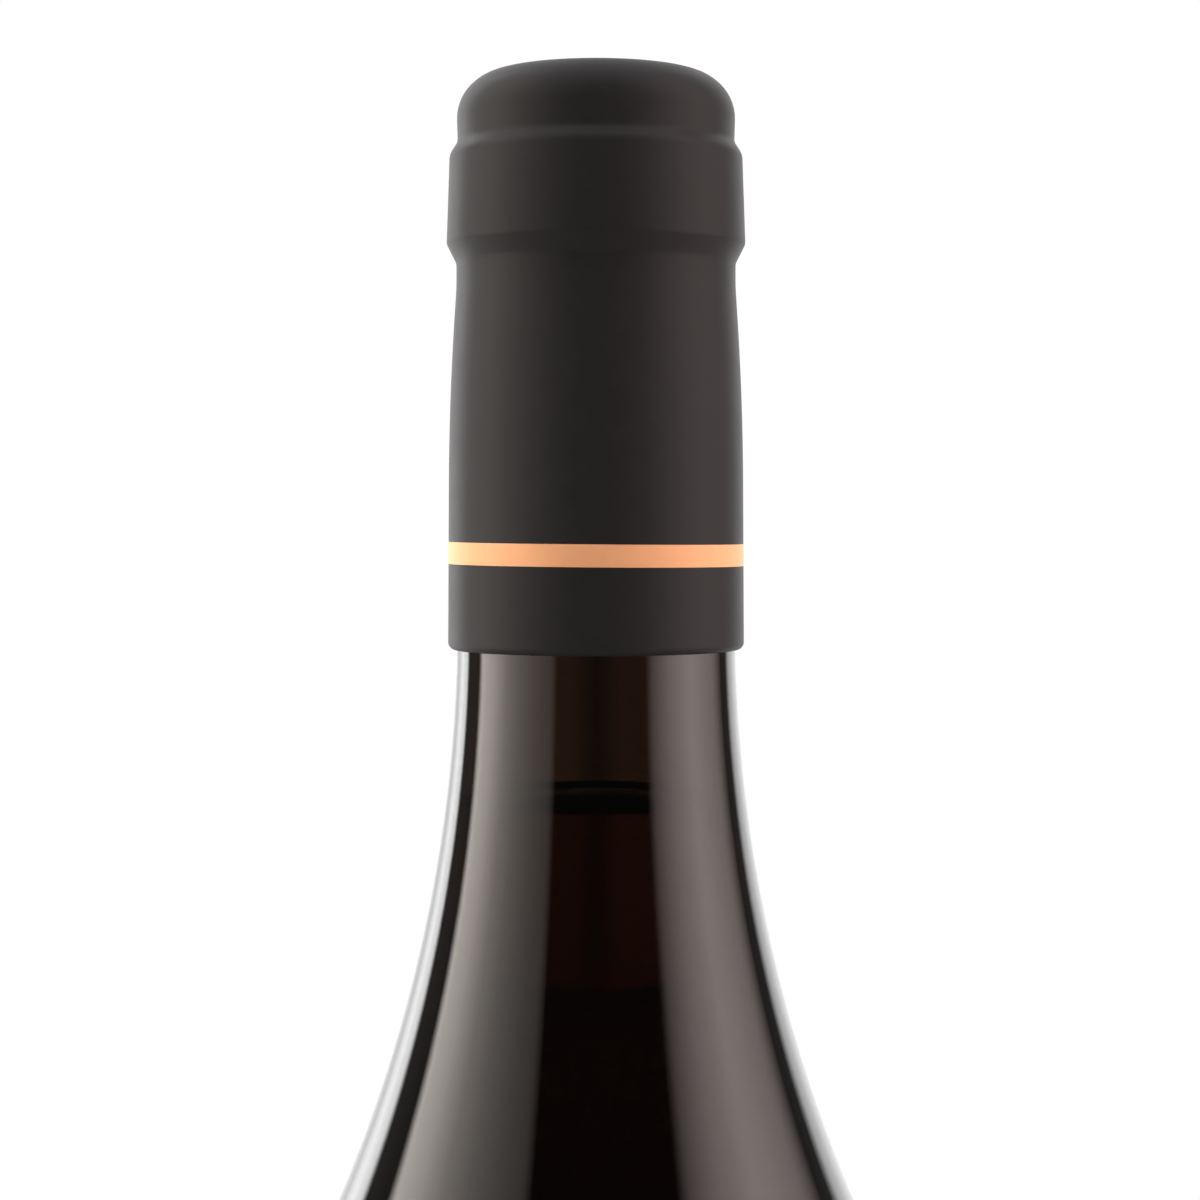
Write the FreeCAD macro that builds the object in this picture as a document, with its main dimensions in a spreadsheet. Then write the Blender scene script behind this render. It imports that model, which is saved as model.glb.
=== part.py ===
import FreeCAD, Part
import math
import os
import re
import Sketcher

# A full wine bottle of the sloping-shouldered kind: a hollow glass bottle with a punt,
# the wine inside it up to the fill level, and the capsule over the mouth and neck.
# The origin is the centre of the ring that the bottle stands on, +Z runs up the axis.

# Driving dimensions in millimetres, angles in degrees. Depths are measured down from
# the rim of the glass, heights up from the surface that the bottle stands on. A step is
# how much more than neck_diameter something measures across.
SIZES = {
    # overall
    "bottle_height": 296.0,
    "body_diameter": 83.4,
    "glass_wall": 3.4,
    # finish: the moulded mouth of the bottle
    "rim_step": -5.67,
    "rim_round": 3.8,
    "lip_step": -0.05,
    "lip_depth": 2.23,
    "lip_round": 4.1,
    "crease_step": -0.3,
    "crease_depth": 6.69,
    "crease_round": 1.55,
    "ring_top_step": 1.34,
    "ring_top_depth": 7.95,
    "ring_top_round": 1.2,
    "ring_step": 1.95,
    "ring_depth": 16.65,
    "ring_round": 0.45,
    # neck and shoulder
    "neck_diameter": 27.4,
    "neck_top_depth": 18.6,
    "neck_top_round": 1.6,
    "neck_taper": 0.57,
    "neck_length": 55.5,
    "shoulder_hollow": 151.0,
    "shoulder_swell": 74.0,
    # bore that the cork grips
    "bore_diameter": 18.5,
    "mouth_round": 0.25,
    "corkage_depth": 48.0,
    "corkage_round": 60.0,
    # base
    "heel_round": 7.0,
    "punt_inset": 13.5,
    "punt_height": 30.0,
    "punt_tip_diameter": 12.0,
    "punt_tip_round": 9.0,
    "foot_round": 2.0,
    "punt_wall": 5.0,
    "inside_heel_round": 5.5,
    # wine
    "fill_depth": 73.3,
    "wine_gap": 0.02,
    # capsule
    "capsule_fit": 0.05,
    "capsule_skin": 0.3,
    "capsule_overhang": 2.0,
    "flare_depth": 21.0,
    "flare_hollow": 24.0,
    "skirt_top_depth": 32.5,
    "skirt_top_step": 2.2,
    "skirt_top_round": 280.0,
    "skirt_step": 2.5,
    "hem_height": 0.8,
    "hem_round": 0.75,
}

SHARP = None

document = FreeCAD.newDocument("WineBottle")
sheet = document.addObject("Spreadsheet::Sheet", "Sizes")
for row, (name, number) in enumerate(SIZES.items(), start=1):
    sheet.set(f"A{row}", name)
    sheet.set(f"B{row}", str(number))
    sheet.setAlias(f"B{row}", name)
document.recompute()

SIZE_NAME = re.compile(r"\b(" + "|".join(SIZES) + r")\b")


def bound(formula):
    """A formula on the size names, written as the expression that reads the sheet."""
    return SIZE_NAME.sub(r"Sizes.\1", formula)


def number(formula):
    """What a formula on the size names comes to now, in mm or degrees."""
    result = sheet.evalExpression(formula)
    return float(getattr(result, "Value", result))


# --- profiles: lists of corners from the top of the axis, down the outside, to its foot ---
# Each corner is (radius, height, rounding), three formulas. A rounding is positive where
# the outside swells, negative where it is hollow, and SHARP where the corner is left.


def facing(upper, lower):
    """Formula for how far up the line between two corners faces: a wall 0, a top 90."""
    if upper[1] == lower[1]:
        return "90 deg"
    return f"atan((({lower[0]}) - ({upper[0]})) / (({upper[1]}) - ({lower[1]})))"


def grown(corners, growth, before, after):
    """The same corners, each pushed out so that every face moves by growth.

    before and after are the corners on either side of the list.
    """
    chain = [before] + corners + [after]
    pushed = []
    for above, corner, below in zip(chain, corners, chain[2:]):
        up = facing(above, corner)
        down = facing(corner, below)
        lean = f"(({up}) + ({down})) / 2"
        half_turn = f"(({up}) - ({down})) / 2"
        radius = f"{corner[0]} + ({growth}) * cos({lean}) / cos({half_turn})"
        height = f"{corner[1]} + ({growth}) * sin({lean}) / cos({half_turn})"
        rounding = SHARP if corner[2] is SHARP else f"{corner[2]} + ({growth})"
        pushed.append((radius, height, rounding))
    return pushed


def at_depth(depth):
    return f"bottle_height - ({depth})"


finish_corners = [
    ("(neck_diameter + rim_step) / 2", "bottle_height", "rim_round"),
    ("(neck_diameter + lip_step) / 2", at_depth("lip_depth"), "lip_round"),
    ("(neck_diameter + crease_step) / 2", at_depth("crease_depth"), "-crease_round"),
    ("(neck_diameter + ring_top_step) / 2", at_depth("ring_top_depth"), "ring_top_round"),
    ("(neck_diameter + ring_step) / 2", at_depth("ring_depth"), "ring_round"),
    ("neck_diameter / 2", at_depth("neck_top_depth"), "-neck_top_round"),
]


def neck_radius(depth):
    """Outside radius of the glass neck, which widens evenly below the finish."""
    return f"(neck_diameter / 2 + (({depth}) - neck_top_depth) * tan(neck_taper))"


shoulder_start = (neck_radius("neck_length"), at_depth("neck_length"), SHARP)
punt_radius = "(body_diameter / 2 - punt_inset)"
punt_slope = f"atan(punt_height / ({punt_radius} - punt_tip_diameter / 2))"


# --- sketches and features ---


def plane_of(body, role):
    """The origin plane of a body that has the given role."""
    for feature in body.Origin.OriginFeatures:
        if feature.Role == role:
            return feature
    raise LookupError(role)


def new_body(label):
    body = document.addObject("PartDesign::Body", label)
    body.Label = label
    body.Placement = FreeCAD.Placement()
    return body


def unit(start, end):
    direction = end - start
    return direction.multiply(1.0 / direction.Length)


class Profile:
    """A half section on the XZ plane, closed along the axis and held by constraints."""

    def __init__(self, body, name):
        self.sketch = body.newObject("Sketcher::SketchObject", name)
        self.sketch.AttachmentSupport = (plane_of(body, "XZ_Plane"), "")
        self.sketch.MapMode = "FlatFace"

    def hold(self, *constraint):
        return self.sketch.addConstraint(Sketcher.Constraint(*constraint))

    def bind(self, index, formula):
        self.sketch.setExpression(f"Constraints[{index}]", bound(formula))

    def place(self, geometry, end, corner):
        """Hold one point of the sketch at a corner's radius and height."""
        for kind, axis, formula in (("DistanceX", -2, corner[0]), ("DistanceY", -1, corner[1])):
            if formula == "0":
                self.hold("PointOnObject", geometry, end, axis)
            else:
                self.bind(self.hold(kind, -1, 1, geometry, end, number(formula)), formula)

    def line(self, start, end):
        return self.sketch.addGeometry(Part.LineSegment(start, end), False)

    def arc(self, start, end, centre, turn_left):
        """An arc from start to end; returns it with the numbers of those two ends."""
        first, last = (start, end) if turn_left else (end, start)
        angles = [math.atan2(point.y - centre.y, point.x - centre.x) for point in (first, last)]
        circle = Part.Circle(centre, FreeCAD.Vector(0, 0, 1), (start - centre).Length)
        index = self.sketch.addGeometry(Part.ArcOfCircle(circle, *angles), False)
        return (index, 1, 2) if turn_left else (index, 2, 1)

    def round_off(self, before, corner, after, rounding):
        """Tangent points, centre and side of the arc that rounds off one corner."""
        incoming = unit(before, corner)
        outgoing = unit(corner, after)
        turn = incoming.getAngle(outgoing)
        reach = rounding * math.tan(turn / 2)
        start = corner - incoming * reach
        end = corner + outgoing * reach
        turn_left = incoming.cross(outgoing).z > 0
        side = FreeCAD.Vector(-incoming.y, incoming.x, 0) * (rounding if turn_left else -rounding)
        return start, end, start + side, turn_left

    def draw(self, corners, ogee=None):
        """Lines between the corners, with a tangent arc at each rounded one.

        ogee is (number of a corner, hollow radius, swell radius): at that corner a
        hollow arc and then a swelling arc lead smoothly to the upright line below it.
        """
        points = [FreeCAD.Vector(number(r), number(z), 0) for r, z, _ in corners]
        joints = []
        for index, corner in enumerate(corners):
            point = points[index]
            if corner[2] is SHARP:
                joints.append((point, point, None, None))
                continue
            before = points[index - 1]
            if ogee and index - 1 == ogee[0]:
                before = FreeCAD.Vector(point.x, points[ogee[0]].y, 0)
            after = points[index + 1]
            joints.append(self.round_off(before, point, after, abs(number(corner[2]))))
        if ogee:
            ogee_arcs = self.ogee_shape(points, ogee)
        lines = []
        for index in range(len(corners)):
            following = (index + 1) % len(corners)
            start = joints[index][1]
            if ogee and index == ogee[0]:
                start = ogee_arcs[-1]
            lines.append(self.line(start, joints[following][0]))
        for index, corner in enumerate(corners):
            start, end, centre, turn_left = joints[index]
            above = lines[index - 1]
            below = lines[index]
            if ogee and index == ogee[0]:
                self.place(above, 2, corner)
                self.join_ogee(above, below, ogee, ogee_arcs)
            elif corner[2] is SHARP:
                self.hold("Coincident", above, 2, below, 1)
                self.place(below, 1, corner)
            else:
                arc, first, last = self.arc(start, end, centre, turn_left)
                self.hold("Tangent", above, 2, arc, first)
                self.hold("Tangent", arc, last, below, 1)
                self.bind(self.hold("Radius", arc, (start - centre).Length), f"abs({corner[2]})")
                mark = self.sketch.addGeometry(Part.Point(points[index]), True)
                self.place(mark, 1, corner)
                self.hold("PointOnObject", mark, 1, above)
                self.hold("PointOnObject", mark, 1, below)
        document.recompute()
        if not self.sketch.FullyConstrained:
            raise RuntimeError(f"{self.sketch.Name} is not fully constrained")
        return self.sketch

    def ogee_shape(self, points, ogee):
        """Where the hollow and swelling arcs of the shoulder start, meet and end."""
        index, hollow_formula, swell_formula = ogee
        hollow = number(hollow_formula)
        swell = number(swell_formula)
        start = points[index]
        incoming = unit(points[index - 1], start)
        hollow_centre = start + FreeCAD.Vector(-incoming.y, incoming.x, 0) * hollow
        swell_x = points[index + 1].x - swell
        drop = math.sqrt((hollow + swell) ** 2 - (hollow_centre.x - swell_x) ** 2)
        swell_centre = FreeCAD.Vector(swell_x, hollow_centre.y - drop, 0)
        meeting = hollow_centre + unit(hollow_centre, swell_centre) * hollow
        end = FreeCAD.Vector(points[index + 1].x, swell_centre.y, 0)
        return start, hollow_centre, meeting, swell_centre, end

    def join_ogee(self, above, below, ogee, arcs):
        start, hollow_centre, meeting, swell_centre, end = arcs
        hollow, hollow_first, hollow_last = self.arc(start, meeting, hollow_centre, True)
        swell, swell_first, swell_last = self.arc(meeting, end, swell_centre, False)
        self.hold("Tangent", above, 2, hollow, hollow_first)
        self.hold("Tangent", hollow, hollow_last, swell, swell_first)
        self.hold("Tangent", swell, swell_last, below, 1)
        self.hold("Vertical", below)
        self.bind(self.hold("Radius", hollow, (start - hollow_centre).Length), ogee[1])
        self.bind(self.hold("Radius", swell, (end - swell_centre).Length), ogee[2])


def revolve(body, kind, name, sketch):
    """A full turn of a sketch about the axis, which adds to the body or cuts it."""
    feature = body.newObject(kind, name)
    feature.Profile = sketch
    feature.ReferenceAxis = (sketch, ["V_Axis"])
    feature.Angle = 360.0
    sketch.Visibility = False
    document.recompute()
    return feature


def round_edge(body, name, base, radius, height, rounding):
    """Round off the circular edge of base that has this radius and height."""
    for index, edge in enumerate(base.Shape.Edges, start=1):
        circle = edge.Curve
        if isinstance(circle, Part.Circle):
            here = circle.Center.z - number(height)
            if abs(here) < 1e-4 and abs(circle.Radius - number(radius)) < 1e-4:
                feature = body.newObject("PartDesign::Fillet", name)
                feature.Base = (base, [f"Edge{index}"])
                feature.setExpression("Radius", bound(rounding))
                document.recompute()
                return feature
    raise LookupError(name)


def draw_cavity(body, name, gap):
    """The inside of the glass, or a profile that stays a small gap clear of it."""
    wall = f"(glass_wall + {gap})"
    floor = f"(punt_wall + {gap})"
    inside_radius = f"body_diameter / 2 - {wall}"
    inside_start = (
        f"{shoulder_start[0]} - {wall} * cos(neck_taper)",
        f"{shoulder_start[1]} - {wall} * sin(neck_taper)",
    )
    below_corkage = f"({inside_start[0]} - (neck_length + {wall} * sin(neck_taper) - corkage_depth)"
    tip_radius = f"punt_tip_diameter / 2 + {floor} * tan({punt_slope} / 2)"
    floor_at_wall = (
        f"punt_height + {floor} - ({inside_radius} - ({tip_radius})) * tan({punt_slope})"
    )
    corners = [
        ("0", "bottle_height", SHARP),
        (f"bore_diameter / 2 - {gap}", "bottle_height", SHARP),
        (f"{below_corkage} * tan(neck_taper))", at_depth("corkage_depth"), "-corkage_round"),
        (*inside_start, SHARP),
        (inside_radius, floor_at_wall, f"inside_heel_round - {gap}"),
        (tip_radius, f"punt_height + {floor}", f"punt_tip_round + {floor}"),
        ("0", f"punt_height + {floor}", SHARP),
    ]
    ogee = (3, f"shoulder_hollow + {wall}", f"shoulder_swell - {wall}")
    return Profile(body, name).draw(corners, ogee)


def build_bottle():
    body = new_body("bottle")
    outside = [
        ("0", "bottle_height", SHARP),
        *finish_corners,
        shoulder_start,
        ("body_diameter / 2", "0", "heel_round"),
        (punt_radius, "0", "foot_round"),
        ("punt_tip_diameter / 2", "punt_height", "punt_tip_round"),
        ("0", "punt_height", SHARP),
    ]
    ogee = (outside.index(shoulder_start), "shoulder_hollow", "shoulder_swell")
    outside_sketch = Profile(body, "OutsideProfile").draw(outside, ogee)
    revolve(body, "PartDesign::Revolution", "Outside", outside_sketch)
    cavity_sketch = draw_cavity(body, "CavityProfile", "0")
    cavity = revolve(body, "PartDesign::Groove", "Cavity", cavity_sketch)
    round_edge(body, "MouthRound", cavity, "bore_diameter / 2", "bottle_height", "mouth_round")
    return body


def build_wine():
    body = new_body("wine")
    filled_sketch = draw_cavity(body, "FilledProfile", "wine_gap")
    revolve(body, "PartDesign::Revolution", "Filled", filled_sketch)
    above_level = [
        ("0", "bottle_height + punt_height", SHARP),
        ("body_diameter", "bottle_height + punt_height", SHARP),
        ("body_diameter", at_depth("fill_depth"), SHARP),
        ("0", at_depth("fill_depth"), SHARP),
    ]
    level_sketch = Profile(body, "LevelProfile").draw(above_level)
    revolve(body, "PartDesign::Groove", "Level", level_sketch)
    return body


def build_capsule():
    body = new_body("capsule")
    axis_top = ("0", "bottle_height", SHARP)
    end_height = at_depth("neck_length + capsule_overhang")
    hem_height = f"{end_height} + hem_height"
    skirt_end = ("(neck_diameter + skirt_step) / 2 - capsule_skin", end_height, SHARP)
    covered = grown(finish_corners, "capsule_fit", axis_top, shoulder_start)
    flare = ("neck_diameter / 2 + capsule_fit", at_depth("flare_depth"), "-flare_hollow")
    skirt_top_radius = "(neck_diameter + skirt_top_step) / 2 - capsule_skin"
    skirt_top = (skirt_top_radius, at_depth("skirt_top_depth"), "skirt_top_round")
    inner_top = ("0", "bottle_height + capsule_fit", SHARP)
    neck_top = ("neck_diameter / 2 + capsule_fit", *covered[-1][1:])
    lining = [*covered[:-1], neck_top, flare, skirt_top]
    hem_radius = f"{neck_radius('neck_length + capsule_overhang')} + capsule_fit"
    inside = [
        inner_top,
        *lining,
        ("(neck_diameter + skirt_step) / 2 - capsule_skin", hem_height, SHARP),
        (hem_radius, hem_height, SHARP),
        (hem_radius, end_height, SHARP),
        ("0", end_height, SHARP),
    ]
    outside = [
        ("0", "bottle_height + capsule_fit + capsule_skin", SHARP),
        *grown(lining, "capsule_skin", inner_top, skirt_end),
        ("(neck_diameter + skirt_step) / 2", end_height, "hem_round"),
        ("0", end_height, SHARP),
    ]
    outside_sketch = Profile(body, "OutsideProfile").draw(outside)
    revolve(body, "PartDesign::Revolution", "Outside", outside_sketch)
    inside_sketch = Profile(body, "InsideProfile").draw(inside)
    revolve(body, "PartDesign::Groove", "Inside", inside_sketch)
    return body


bodies = [build_bottle(), build_wine(), build_capsule()]
document.recompute()

for item in document.Objects:
    if "Invalid" in item.State or "Error" in item.State:
        raise RuntimeError(f"{item.Name} did not build: {item.State}")
for body in bodies:
    if body.Shape.isNull() or not body.Shape.isValid() or len(body.Shape.Solids) != 1:
        raise RuntimeError(f"{body.Label} is not one valid solid")

os.makedirs("parts", exist_ok=True)
for body in bodies:
    body.Shape.exportStep(f"parts/{body.Label}.step")
    box = body.Shape.BoundBox
    print(f"{body.Label}: {body.Shape.Volume / 1000:.2f} ml, z {box.ZMin:.2f} to {box.ZMax:.2f} mm")
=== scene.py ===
# %% [markdown]
# # A full wine bottle under its capsule
# The object is a sloping-shouldered bottle of dark amber glass, filled with red wine and
# closed by a matte black capsule that carries a copper band. The solid model arrives as a
# fixed frame, so every piece below is built on the frame's own measurements and nothing
# has to be fitted by eye.

# %% Load the frame
import math

import bmesh
import bpy
from mathutils import Matrix, Vector


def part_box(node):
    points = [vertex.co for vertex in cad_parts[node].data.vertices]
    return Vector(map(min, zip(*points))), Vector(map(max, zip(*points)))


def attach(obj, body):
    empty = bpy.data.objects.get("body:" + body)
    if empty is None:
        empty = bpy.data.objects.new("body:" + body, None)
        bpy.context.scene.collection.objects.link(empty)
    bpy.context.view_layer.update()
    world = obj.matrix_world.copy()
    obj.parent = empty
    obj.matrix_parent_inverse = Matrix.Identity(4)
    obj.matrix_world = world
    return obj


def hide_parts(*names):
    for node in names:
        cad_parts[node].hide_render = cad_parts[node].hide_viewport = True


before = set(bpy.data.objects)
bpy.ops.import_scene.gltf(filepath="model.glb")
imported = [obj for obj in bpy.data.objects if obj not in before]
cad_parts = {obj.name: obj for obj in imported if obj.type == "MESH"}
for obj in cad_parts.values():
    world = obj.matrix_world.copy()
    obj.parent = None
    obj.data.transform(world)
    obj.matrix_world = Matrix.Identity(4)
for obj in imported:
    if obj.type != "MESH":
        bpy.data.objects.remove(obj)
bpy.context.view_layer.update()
print("nodes in the frame:", sorted(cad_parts))

# %% [markdown]
# Almost everything on a bottle is known from a drawing in millimetres, so the script keeps
# millimetres and converts once, when a point is drawn. The overall sizes come from the
# frame: the rim height, the body's radius, the level of the wine.

# %% Overall sizes, read from the frame
MM = 0.001
BODY = "root"


def highest(node):
    """The corner of a node's box with the greatest x, y and z, in millimetres."""
    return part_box(node)[1] / MM


rim_height = highest("bottle").z
body_radius = highest("bottle").x
wine_level = highest("wine").z
capsule_top = highest("capsule").z
capsule_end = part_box("capsule")[0].z / MM
print(f"rim at {rim_height:.1f}, body radius {body_radius:.2f}, wine to {wine_level:.1f} mm")

# %% [markdown]
# ## Drawing outlines
# A bottle is a turned shape: one outline, swept once round the axis. The outline could be
# typed in as many small points, but a drawing only has a few corners, each rounded by a
# known radius. So a pen, which is a single vertex, is extruded along the straight runs and
# spun about the centre of each rounding. Changing one radius then changes the whole curve.

# %% A pen that draws straight runs and round corners
DEGREES_PER_STEP = 7.5
LONGEST_STEP = 1.5  # mm along an arc, so that wide arcs stay smooth
FEWEST_STEPS = 2


def move_pen(outline, pen, place):
    """Extrude the pen's vertex to a place, which leaves one straight edge behind it."""
    drawn = bmesh.ops.extrude_vert_indiv(outline, verts=[pen])
    drawn["verts"][0].co = place
    return drawn["verts"][0]


def draw_outline(corners):
    """An outline in the XZ plane from corners of (radius, height, rounding) in mm."""
    outline = bmesh.new()
    points = [Vector((radius, 0, height)) * MM for radius, height, _ in corners]
    pen = outline.verts.new(points[0])
    for before, point, after, corner in zip(points, points[1:], points[2:], corners[1:]):
        incoming = (point - before).normalized()
        outgoing = (after - point).normalized()
        rounding = corner[2] * MM
        turn = incoming.angle(outgoing)
        if not rounding:
            pen = move_pen(outline, pen, point)
            continue
        pen = move_pen(outline, pen, point - incoming * rounding * math.tan(turn / 2))
        axis = incoming.cross(outgoing).normalized()
        steps = max(
            math.ceil(math.degrees(turn) / DEGREES_PER_STEP),
            math.ceil(turn * corner[2] / LONGEST_STEP),
            FEWEST_STEPS,
        )
        arc = bmesh.ops.spin(
            outline,
            geom=[pen],
            cent=pen.co + axis.cross(incoming) * rounding,
            axis=axis,
            angle=turn,
            steps=steps,
        )
        pen = arc["geom_last"][0]
    move_pen(outline, pen, points[-1])
    return outline


def pushed_out(corners, distance):
    """The corners between the first and the last, moved so that each face moves outwards."""
    moved = []
    for before, corner, after in zip(corners, corners[1:], corners[2:]):
        arriving = (Vector(corner[:2]) - Vector(before[:2])).normalized()
        leaving = (Vector(after[:2]) - Vector(corner[:2])).normalized()
        outward = Vector((-arriving.y - leaving.y, arriving.x + leaving.x)).normalized()
        half_turn = arriving.angle(leaving) / 2
        place = Vector(corner[:2]) + outward * distance / math.cos(half_turn)
        swells = arriving.x * leaving.y - arriving.y * leaving.x < 0
        rounding = corner[2] + (distance if swells else -distance)
        moved.append((place.x, place.y, rounding if corner[2] else 0))
    return moved


print(f"arcs are drawn in steps of {DEGREES_PER_STEP} degrees or less")

# %% [markdown]
# The outline is then spun a full turn. The last step is merged with the first, and the
# ends on the axis are merged to single poles, so the skin is closed all round. Only then
# are the normals worked out, because they need a closed skin to tell inside from outside.

# %% Sweep an outline round the axis
STEPS_AROUND = 180
MERGE = 0.002 * MM


def sweep(outline):
    """Spin an outline once round the axis into a closed skin."""
    bmesh.ops.spin(
        outline,
        geom=outline.verts[:] + outline.edges[:],
        cent=(0, 0, 0),
        axis=(0, 0, 1),
        angle=2 * math.pi,
        steps=STEPS_AROUND,
        use_merge=True,
    )
    bmesh.ops.remove_doubles(outline, verts=outline.verts, dist=MERGE)
    bmesh.ops.recalc_face_normals(outline, faces=outline.faces)
    return outline


def finish_piece(name, skin, slot_name, *replaced):
    """Make the object, shade it smooth, hang it on the body and hide the frame's nodes it
    replaces.
    """
    mesh = bpy.data.meshes.new(name)
    skin.to_mesh(mesh)
    skin.free()
    mesh.shade_smooth()
    piece = bpy.data.objects.new(name, mesh)
    bpy.context.scene.collection.objects.link(piece)
    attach(piece, BODY)
    if replaced:
        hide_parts(*replaced)
    print(f"{name}: {len(mesh.polygons)} faces, {piece.dimensions.z / MM:.2f} mm tall")
    return piece


print("steps round the axis:", STEPS_AROUND)

# %% [markdown]
# ## The glass
# The mouth of a cork-finish bottle has a rounded lip, a crease under it and a thicker ring
# below, which together are called the finish. Under it the neck widens very slightly, then
# runs through one long hollow arc and a tighter swelling arc into the straight body. The
# foot is folded up inside into a punt. All of it is one outline, written from the top down.

# %% The outside of the glass
TAPER = math.radians(0.57)
NECK_RADIUS = 13.7
NECK_TOP_DEPTH = 18.6
NECK_TOP_ROUND = 1.6
NECK_LENGTH = 55.5
SHOULDER_HOLLOW = 151.0
SHOULDER_SWELL = 74.0
HEEL_ROUND = 7.0
FOOT_ROUND = 2.0
PUNT_RADIUS = body_radius - 13.5
PUNT_HEIGHT = 30.0
PUNT_TIP_RADIUS = 6.0
PUNT_TIP_ROUND = 9.0


def at_depth(depth):
    """Height of something that is measured down from the rim of the glass."""
    return rim_height - depth


def shoulder(start, side_radius, hollow, swell):
    """The two round corners that lead from the neck's taper to the upright side."""
    widening = side_radius - start[0]
    steepest = math.acos((hollow * math.cos(TAPER) + swell - widening) / (hollow + swell))
    reach = hollow * math.tan((steepest - TAPER) / 2)
    upper = (start[0] + reach * math.sin(TAPER), start[1] - reach * math.cos(TAPER), hollow)
    drop = hollow * (math.sin(steepest) - math.sin(TAPER)) + swell * math.sin(steepest)
    lower = (side_radius, start[1] - drop + swell * math.tan(steepest / 2), swell)
    return [upper, lower]


rim_centre = (0, rim_height, 0)
finish_corners = [
    (10.865, rim_height, 3.8),  # the rim round the mouth
    (13.675, at_depth(2.23), 4.1),  # the lip
    (13.55, at_depth(6.69), 1.55),  # the crease under it
    (14.37, at_depth(7.95), 1.2),  # the top of the ring
    (14.675, at_depth(16.65), 0.45),  # the foot of the ring
    (NECK_RADIUS, at_depth(NECK_TOP_DEPTH), NECK_TOP_ROUND),
]
neck_foot = (
    NECK_RADIUS + (NECK_LENGTH - NECK_TOP_DEPTH) * math.tan(TAPER),
    at_depth(NECK_LENGTH),
)
glass_outside = [
    *finish_corners,
    *shoulder(neck_foot, body_radius, SHOULDER_HOLLOW, SHOULDER_SWELL),
    (body_radius, 0, HEEL_ROUND),
    (PUNT_RADIUS, 0, FOOT_ROUND),
    (PUNT_TIP_RADIUS, PUNT_HEIGHT, PUNT_TIP_ROUND),
    (0, PUNT_HEIGHT, 0),
]
print(f"neck foot at radius {neck_foot[0]:.2f} mm")

# %% [markdown]
# The inside follows the outside at the thickness of the wall. Only the bore is made to its
# own size, because it has to grip a cork. The wine fills the same outline, so it is kept
# as a list of its own.

# %% The inside of the glass
WALL = 3.4
FLOOR = 5.0
BORE_RADIUS = 9.25
MOUTH_ROUND = 0.25
CORKAGE_DEPTH = 48.0
CORKAGE_ROUND = 60.0
INSIDE_HEEL_ROUND = 5.5

inside_radius = body_radius - WALL
inside_foot = (
    neck_foot[0] - WALL * math.cos(TAPER),
    neck_foot[1] - WALL * math.sin(TAPER),
)
corkage_height = at_depth(CORKAGE_DEPTH)
corkage_radius = inside_foot[0] - (corkage_height - inside_foot[1]) * math.tan(TAPER)
punt_slope = math.atan(PUNT_HEIGHT / (PUNT_RADIUS - PUNT_TIP_RADIUS))
tip_radius = PUNT_TIP_RADIUS + FLOOR * math.tan(punt_slope / 2)
floor_height = PUNT_HEIGHT + FLOOR
floor_at_wall = floor_height - (inside_radius - tip_radius) * math.tan(punt_slope)
glass_inside = [
    (BORE_RADIUS, rim_height, MOUTH_ROUND),
    (corkage_radius, corkage_height, CORKAGE_ROUND),
    *shoulder(inside_foot, inside_radius, SHOULDER_HOLLOW + WALL, SHOULDER_SWELL - WALL),
    (inside_radius, floor_at_wall, INSIDE_HEEL_ROUND),
    (tip_radius, floor_height, PUNT_TIP_ROUND + FLOOR),
    (0, floor_height, 0),
]
glass = finish_piece(
    "glass_bottle",
    sweep(draw_outline([*reversed(glass_inside), *glass_outside])),
    "bottle_glass",
    "bottle",
)

# %% [markdown]
# ## The wine
# A liquid seen through glass has no gap of air round it. If its skin stopped short of the
# glass, or exactly at it, a bright film would show, so the wine reaches a little way into
# the wall. Its surface climbs the glass in a small hollow ring, the meniscus.

# %% The wine and its meniscus
REACH = 0.15
MENISCUS = 1.3
MENISCUS_STEPS = 8

filled = pushed_out([rim_centre, *glass_inside], REACH)
wine_outline = draw_outline([*filled, (0, floor_height - REACH, 0)])
bmesh.ops.bisect_plane(
    wine_outline,
    geom=wine_outline.verts[:] + wine_outline.edges[:],
    plane_co=(0, 0, (wine_level + MENISCUS) * MM),
    plane_no=(0, 0, 1),
    clear_outer=True,
)
contact = max(wine_outline.verts, key=lambda vertex: vertex.co.z)
climb = bmesh.ops.spin(
    wine_outline,
    geom=[contact],
    cent=contact.co - Vector((MENISCUS * MM, 0, 0)),
    axis=(0, 1, 0),
    angle=math.pi / 2,
    steps=MENISCUS_STEPS,
)
move_pen(wine_outline, climb["geom_last"][0], Vector((0, 0, wine_level * MM)))
wine = finish_piece("red_wine", sweep(wine_outline), "red_wine", "wine")

# %% [markdown]
# ## The capsule
# The capsule is a thin black sleeve, shrunk and rolled down over the finish so that the
# lip, crease and ring show through it. So it is drawn as the glass finish pushed out by
# its own thickness, then given its wall. Below the ring it is a straight skirt that stands
# slightly off the neck, and its end is turned in against the glass.

# %% The capsule, from its outline
SKIN = 0.3
CAPSULE_FIT = 0.05
FLARE_DEPTH = 21.0
FLARE_HOLLOW = 24.0
SKIRT_TOP_DEPTH = 32.5
SKIRT_TOP_RADIUS = 14.8
SKIRT_TOP_ROUND = 280.0
SKIRT_RADIUS = 14.95
HEM_ROUND = 0.75

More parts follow.
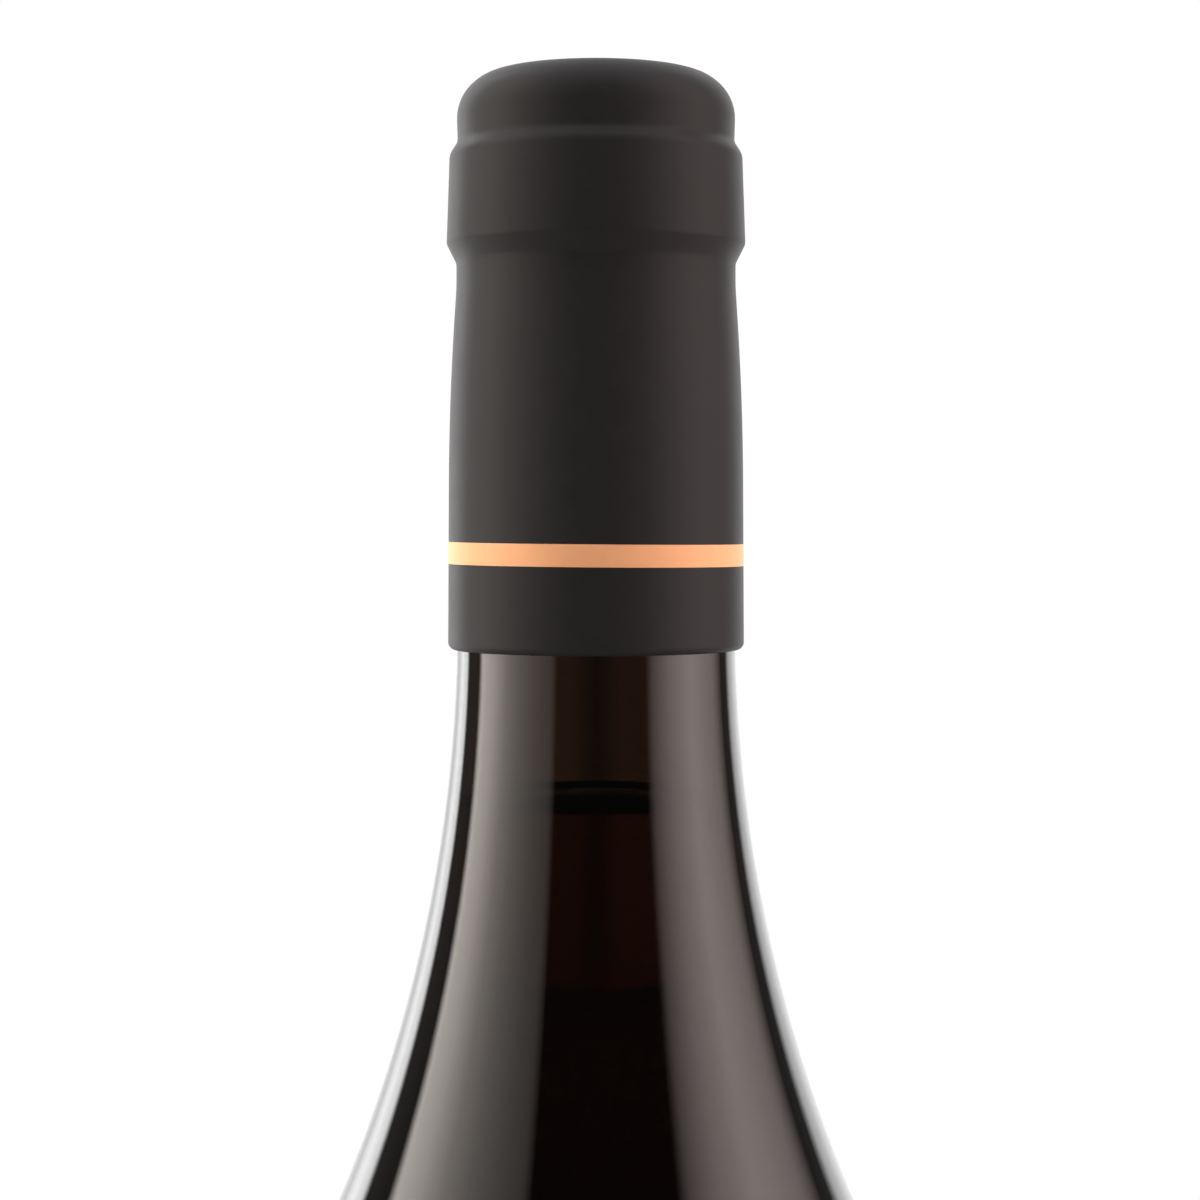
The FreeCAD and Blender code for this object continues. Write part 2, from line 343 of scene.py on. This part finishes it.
hugging = pushed_out([rim_centre, *finish_corners, (NECK_RADIUS, 0, 0)], CAPSULE_FIT + SKIN)
covered_neck = rim_height - capsule_end - NECK_TOP_DEPTH
hem_radius = NECK_RADIUS + covered_neck * math.tan(TAPER) + CAPSULE_FIT
capsule_outline = [
    (0, capsule_top, 0),
    *hugging,
    (NECK_RADIUS + CAPSULE_FIT + SKIN, at_depth(FLARE_DEPTH), FLARE_HOLLOW),
    (SKIRT_TOP_RADIUS, at_depth(SKIRT_TOP_DEPTH), SKIRT_TOP_ROUND),
    (SKIRT_RADIUS, capsule_end, HEM_ROUND),
    (hem_radius, capsule_end, 0),
]
capsule_skin = sweep(draw_outline(capsule_outline))
bmesh.ops.solidify(capsule_skin, geom=capsule_skin.faces[:], thickness=SKIN * MM)
capsule = finish_piece("capsule", capsule_skin, "capsule_skin", "capsule")

# %% [markdown]
# The copper band is printed round the skirt in a thick copper lacquer. It is far thinner
# than anything a mesh needs to show, so it is a ring that stands a few hundredths of a
# millimetre proud, with its edges rounded off. The press leaves it a little out of level.

# %% The copper band
BAND_TOP = 249.25
BAND_BOTTOM = 247.05
LACQUER = 0.025
BAND_EDGE = 0.02
BAND_TILT = math.radians(0.45)


def skirt_radius_at(height):
    """Radius of the capsule's straight skirt at a height."""
    skirt_top = at_depth(SKIRT_TOP_DEPTH)
    share = (skirt_top - height) / (skirt_top - capsule_end)
    return SKIRT_TOP_RADIUS + (SKIRT_RADIUS - SKIRT_TOP_RADIUS) * share


top_radius = skirt_radius_at(BAND_TOP)
bottom_radius = skirt_radius_at(BAND_BOTTOM)
band_outline = [
    (top_radius - LACQUER, BAND_TOP, 0),
    (top_radius + LACQUER, BAND_TOP, BAND_EDGE),
    (bottom_radius + LACQUER, BAND_BOTTOM, BAND_EDGE),
    (bottom_radius - LACQUER, BAND_BOTTOM, 0),
    (top_radius - LACQUER, BAND_TOP, 0),
]
band_skin = sweep(draw_outline(band_outline))
bmesh.ops.rotate(
    band_skin,
    verts=band_skin.verts,
    cent=(0, 0, BAND_TOP * MM),
    matrix=Matrix.Rotation(BAND_TILT, 3, "Y"),
)
band = finish_piece("copper_band", band_skin, "capsule_skin")

# %% [markdown]
# ## Materials
# Every material is a small tree of nodes. Colours are written the way a paint chart gives
# them, as sRGB hex values, but shaders work in linear light, so one function converts.
# One more function adds a node with its settings, and links whatever it is handed.

# %% Helpers for colours and nodes
CLEAR = "#FFFFFF"


def linear(hex_colour):
    """An sRGB hex colour as linear RGBA."""
    shares = [int(hex_colour[index : index + 2], 16) / 255 for index in (1, 3, 5)]
    return [((s + 0.055) / 1.055) ** 2.4 if s > 0.04045 else s / 12.92 for s in shares] + [1]


def add(tree, kind, sockets=None, **settings):
    """Add a node, set its properties, and set or link its input sockets."""
    made = tree.nodes.new("ShaderNode" + kind)
    for name, value in settings.items():
        setattr(made, name, value)
    for socket, value in (sockets or {}).items():
        if isinstance(value, bpy.types.NodeSocket):
            tree.links.new(value, made.inputs[socket])
        else:
            made.inputs[socket].default_value = value
    return made


def new_material(name, piece):
    """An empty node material, put on the piece."""
    material = bpy.data.materials.new(name)
    material.use_nodes = True
    material.node_tree.nodes.clear()
    piece.data.materials.append(material)
    print(f"material {name} on {piece.name}")
    return material.node_tree


print("clear, as linear light:", linear(CLEAR))

# %% [markdown]
# The bottle is soda-lime glass, melted dark amber to keep light off the wine. A blown
# bottle's skin is fire polished: it has no scratches, but it is never quite flat, and the
# slow waves in it make the edges of reflections swim. The colour sits in the depth of the
# glass, so it is absorption in the volume and the surface itself stays clear.

# %% Dark amber soda-lime glass
AMBER_LEFT = "#9B815E"  # the colour that the glass doesn't absorb
AMBER_DENSITY = 1000  # per metre, so a wall of 3.4 mm lets little through
GLASS_IOR = 1.52
WAVE_LENGTH = 0.018  # metres from wave to wave
WAVE_DEPTH = 0.00002

tree = new_material("amber_soda_lime_glass", glass)
place = add(tree, "TexCoord").outputs["Object"]
waves = add(tree, "TexNoise", {"Vector": place, "Scale": 1 / WAVE_LENGTH, "Detail": 1.0})
ripple = add(tree, "Bump", {"Height": waves.outputs["Fac"], "Distance": WAVE_DEPTH})
surface = add(
    tree,
    "BsdfPrincipled",
    {
        "Base Color": linear(CLEAR),
        "Roughness": 0.0,
        "IOR": GLASS_IOR,
        "Transmission Weight": 1.0,
        "Normal": ripple.outputs["Normal"],
    },
)
depth = add(tree, "VolumeAbsorption", {"Color": linear(AMBER_LEFT), "Density": AMBER_DENSITY})
add(
    tree,
    "OutputMaterial",
    {"Surface": surface.outputs["BSDF"], "Volume": depth.outputs["Volume"]},
)

# %% [markdown]
# Red wine is clear but very deeply coloured: a thin edge glows garnet, and the full width
# of the bottle is almost black. That comes out by itself when the red is absorbed less
# than green and blue, over the real distance that the light has to travel. The liquid is
# still, so only a trace of slow unevenness is left where it meets the glass.

# %% Red wine
GARNET_LEFT = "#F0D6BB"  # the colour that the wine doesn't absorb
GARNET_DENSITY = 160  # per metre
WINE_IOR = 1.34  # water is 1.33, and the alcohol adds a little
SWAYS_PER_METRE = 60.0
SWAY_DEPTH = 0.00001

tree = new_material("clear_red_wine", wine)
place = add(tree, "TexCoord").outputs["Object"]
sways = add(tree, "TexNoise", {"Vector": place, "Scale": SWAYS_PER_METRE, "Detail": 0.0})
uneven = add(tree, "Bump", {"Height": sways.outputs["Fac"], "Distance": SWAY_DEPTH})
surface = add(
    tree,
    "BsdfPrincipled",
    {
        "Base Color": linear(CLEAR),
        "Roughness": 0.0,
        "IOR": WINE_IOR,
        "Transmission Weight": 1.0,
        "Normal": uneven.outputs["Normal"],
    },
)
depth = add(tree, "VolumeAbsorption", {"Color": linear(GARNET_LEFT), "Density": GARNET_DENSITY})
add(
    tree,
    "OutputMaterial",
    {"Surface": surface.outputs["BSDF"], "Volume": depth.outputs["Volume"]},
)

# %% [markdown]
# The capsule and its band are both lacquered, and a lacquer is never even: its tone drifts
# a little from place to place, and its sheen with it, and close up it has a grain that
# catches light. One function draws all that, and each lacquer brings its own colours. The
# real grain is finer than a hair, and is drawn coarser so that it shows at all.

# %% A mottled lacquer
GRAIN = 0.00035  # metres
GRAIN_DEPTH = 0.00001
MOTTLE = 0.0022  # metres
LACQUER_IOR = 1.5


def lacquer(name, piece, tones, roughness, specular, relief_strength):
    """A lacquer of two close tones, with a sheen that drifts and a fine grain."""
    tree = new_material(name, piece)
    place = add(tree, "TexCoord").outputs["Object"]
    grain = add(tree, "TexNoise", {"Vector": place, "Scale": 1 / GRAIN, "Detail": 2.0})
    mottle = add(tree, "TexNoise", {"Vector": place, "Scale": 1 / MOTTLE, "Detail": 3.0})
    share = mottle.outputs["Fac"]
    tone = add(
        tree,
        "Mix",
        {"Factor": share, "A": linear(tones[0]), "B": linear(tones[1])},
        data_type="RGBA",
    )
    sheen = add(
        tree,
        "MapRange",
        {"Value": share, "To Min": roughness[0], "To Max": roughness[1]},
    )
    relief = add(
        tree,
        "Bump",
        {"Height": grain.outputs["Fac"], "Distance": GRAIN_DEPTH, "Strength": relief_strength},
    )
    surface = add(
        tree,
        "BsdfPrincipled",
        {
            "Base Color": tone.outputs["Result"],
            "Roughness": sheen.outputs["Result"],
            "IOR": LACQUER_IOR,
            "Specular IOR Level": specular,
            "Normal": relief.outputs["Normal"],
        },
    )
    add(tree, "OutputMaterial", {"Surface": surface.outputs["BSDF"]})


print(f"grain {GRAIN / MM:.2f} mm, mottle {MOTTLE / MM:.1f} mm")

# %% [markdown]
# The capsule is polylaminate: foil between two skins of plastic, lacquered matte black.
# The lacquer scatters light widely, so the black is a soft charcoal with no mirror in it,
# but it still brightens towards the edges.

# %% Matte black polylaminate
lacquer(
    "matte_black_polylaminate",
    capsule,
    tones=("#272627", "#2C2B2C"),
    roughness=(0.42, 0.5),
    specular=0.11,
    relief_strength=0.5,
)

# %% [markdown]
# The band is a copper lacquer: copper-tinted mica flakes in a clear binder. The flakes lie
# every way, so it glows softly over its whole width and doesn't mirror like solid metal.
# It takes the grain of the black lacquer under it, and is printed slightly unevenly.

# %% Satin copper lacquer
lacquer(
    "satin_copper_lacquer",
    band,
    tones=("#FBB482", "#FFBE8D"),
    roughness=(0.4, 0.5),
    specular=0.1,
    relief_strength=0.6,
)

# %% [markdown]
# ## The studio
# Dark glass shows little of itself and a great deal of its surroundings. It is lit with a
# tall tent of white cloth: bright at both sides and behind, dark towards the viewer, with
# two black flags between, which draw the dark lines inside the edges of the bottle. The
# tent is one ring, and a ramp round it gives the brightness of each part.

# %% The ring of the light tent
TENT_RADIUS = 0.65
TENT_HEIGHT = 1.5
TENT_FOOT = -0.05
TENT_SIDES = 96


def add_to_studio(name, mesh, seen=True):
    """Make an object of the studio, which lights or carries the bottle but isn't part of it."""
    data = bpy.data.meshes.new(name)
    mesh.to_mesh(data)
    mesh.free()
    made = bpy.data.objects.new(name, data)
    made.visible_camera = seen
    bpy.context.scene.collection.objects.link(made)
    print(f"{name}: {len(data.polygons)} faces")
    return made


tent_mesh = bmesh.new()
tent_edge = tent_mesh.verts.new((0, -TENT_RADIUS, TENT_FOOT))
move_pen(tent_mesh, tent_edge, Vector((0, -TENT_RADIUS, TENT_HEIGHT)))
bmesh.ops.spin(
    tent_mesh,
    geom=tent_mesh.verts[:] + tent_mesh.edges[:],
    axis=(0, 0, 1),
    angle=2 * math.pi,
    steps=TENT_SIDES,
    use_merge=True,
)
tent = add_to_studio("light_tent", tent_mesh, seen=False)

# %% [markdown]
# The brightness follows the bearing from the middle of the tent: 0 is towards the viewer,
# 90 is at the viewer's right. A colour ramp holds it, so each stretch of cloth fades into
# the next, and a steep step stands for the edge of a flag.

# %% The brightness round the tent
FULL_LIGHT = 6.0
# each stop is a bearing in degrees, the light there, and its tint
TENT_LIGHT = [
    (-180, 0.5, "#FFFFFF"),
    (-178.5, 0.8, "#FFFFFF"),
    (-177, 1.6, "#FFFFFF"),
    (-165, 1.5, "#FFFFFF"),
    (-150, 1.7, "#FFFFFF"),
    (-139, 4.2, "#FFFFFF"),
    (-130, 4.4, "#FFFFFF"),
    (-126, 0.15, "#FFF6EE"),
    (-109, 0.15, "#FFF6EE"),
    (-104, 5.8, "#FFF6EE"),
    (-91, 5.1, "#FFF6EE"),
    (-76, 3.0, "#FFF6EE"),
    (-62, 1.8, "#FFF6EE"),
    (-48, 1.1, "#FFF6EE"),
    (-36, 0.7, "#FFF6EE"),
    (-31, 0.035, "#FFF6EE"),
    (40, 0.035, "#FFEEE9"),
    (47, 1.2, "#FFEEE9"),
    (62, 2.8, "#FFEEE9"),
    (80, 3.9, "#FFEEE9"),
    (90, 3.3, "#FFEEE9"),
    (98, 2.6, "#FFEEE9"),
    (108, 1.8, "#FFEEE9"),
    (115, 0.9, "#FFEEE9"),
    (122, 0.12, "#FFEEE9"),
    (131, 0.12, "#FFFFFF"),
    (138, 1.8, "#FFFFFF"),
    (150, 1.9, "#FFFFFF"),
    (165, 1.4, "#FFFFFF"),
    (177.5, 1.3, "#FFFFFF"),
    (178.5, 0.8, "#FFFFFF"),
    (180, 0.5, "#FFFFFF"),
]

tree = new_material("tent_cloth_light", tent)
place = add(tree, "TexCoord").outputs["Object"]
axes = add(tree, "SeparateXYZ", {"Vector": place})
ahead = add(tree, "Math", operation="MULTIPLY", sockets={0: axes.outputs["Y"], 1: -1.0})
angle = add(
    tree,
    "Math",
    operation="ARCTAN2",
    sockets={0: axes.outputs["X"], 1: ahead.outputs["Value"]},
)
share = add(
    tree,
    "MapRange",
    {"Value": angle.outputs["Value"], "From Min": -math.pi, "From Max": math.pi},
)
ramp = add(tree, "ValToRGB", {"Fac": share.outputs["Result"]})
stops = ramp.color_ramp.elements
while len(stops) > 1:
    stops.remove(stops[0])
stops[0].position = 0.0
for index, (bearing, light, tint) in enumerate(TENT_LIGHT):
    stop = stops.new((bearing + 180) / 360) if index else stops[0]
    stop.color = [channel * light / FULL_LIGHT for channel in linear(tint)[:3]] + [1]
glow = add(tree, "Emission", {"Color": ramp.outputs["Color"], "Strength": FULL_LIGHT})
add(tree, "OutputMaterial", {"Surface": glow.outputs["Emission"]})
print("stops round the tent:", len(stops))

# %% [markdown]
# A soft ceiling above the tent lights the top of the capsule, and the world is plain white
# to look at but gives almost no light of its own.

# %% Ceiling and world
CEILING_LIGHT = 1.6
CEILING_HEIGHT = 1.5
CEILING_TINT = "#F2F8FF"
CEILING_SIDES = 64
SURROUND_LIGHT = 0.03

ceiling_mesh = bmesh.new()
bmesh.ops.create_circle(
    ceiling_mesh, cap_ends=True, segments=CEILING_SIDES, radius=TENT_RADIUS
)
bmesh.ops.translate(ceiling_mesh, verts=ceiling_mesh.verts, vec=(0, 0, CEILING_HEIGHT))
ceiling = add_to_studio("light_ceiling", ceiling_mesh, seen=False)
tree = new_material("ceiling_cloth_light", ceiling)
glow = add(tree, "Emission", {"Color": linear(CEILING_TINT), "Strength": CEILING_LIGHT})
add(tree, "OutputMaterial", {"Surface": glow.outputs["Emission"]})

world = bpy.data.worlds.new("white_surround")
world.use_nodes = True
bpy.context.scene.world = world
tree = world.node_tree
tree.nodes.clear()
seen = add(tree, "LightPath").outputs["Is Camera Ray"]
strength = add(tree, "MapRange", {"Value": seen, "To Min": SURROUND_LIGHT, "To Max": 1.0})
white = add(
    tree, "Background", {"Color": linear(CLEAR), "Strength": strength.outputs["Result"]}
)
add(tree, "OutputWorld", {"Surface": white.outputs["Background"]})

# %% [markdown]
# The floor is a pale disc that fades out into the white surround, so that no edge of it is
# ever seen.

# %% The floor
FLOOR_RADIUS = 0.64
FLOOR_SIDES = 96
FLOOR_TONE = "#ADADAB"
FADE_START = 0.35
FADE_END = 0.6144

floor_mesh = bmesh.new()
bmesh.ops.create_circle(floor_mesh, cap_ends=True, segments=FLOOR_SIDES, radius=FLOOR_RADIUS)
floor = add_to_studio("pale_floor", floor_mesh)
tree = new_material("pale_table_paper", floor)
place = add(tree, "TexCoord").outputs["Object"]
distance = add(tree, "VectorMath", operation="LENGTH", sockets={0: place})
fade = add(
    tree,
    "MapRange",
    {"Value": distance.outputs["Value"], "From Min": FADE_START, "From Max": FADE_END},
    interpolation_type="SMOOTHSTEP",
)
paper = add(tree, "BsdfDiffuse", {"Color": linear(FLOOR_TONE)})
clear = add(tree, "BsdfTransparent")
mixed = add(
    tree,
    "MixShader",
    {0: fade.outputs["Result"], 1: paper.outputs["BSDF"], 2: clear.outputs["BSDF"]},
)
add(tree, "OutputMaterial", {"Surface": mixed.outputs["Shader"]})

# %% [markdown]
# ## The camera
# A longish lens stands just above the level of the copper band and looks down a degree or
# two, so that only the capsule, the neck and the start of the shoulder are in the frame.

# %% The camera
CAMERA_PLACE = (0.0004, -0.273, 0.25205)
CAMERA_TILT = 1.80  # degrees down
LENS = 81.0
SENSOR_WIDTH = 36.0
NEAREST_SEEN = 0.01

camera_data = bpy.data.cameras.new("studio_camera")
camera_data.lens = LENS
camera_data.sensor_width = SENSOR_WIDTH
camera_data.clip_start = NEAREST_SEEN
camera = bpy.data.objects.new("studio_camera", camera_data)
camera.location = CAMERA_PLACE
camera.rotation_euler = (math.radians(90 - CAMERA_TILT), 0, 0)
bpy.context.scene.collection.objects.link(camera)
bpy.context.scene.camera = camera
bpy.context.scene.view_settings.view_transform = "Standard"
print(f"camera {-CAMERA_PLACE[1] / MM:.0f} mm from the axis, lens {LENS:.0f} mm")
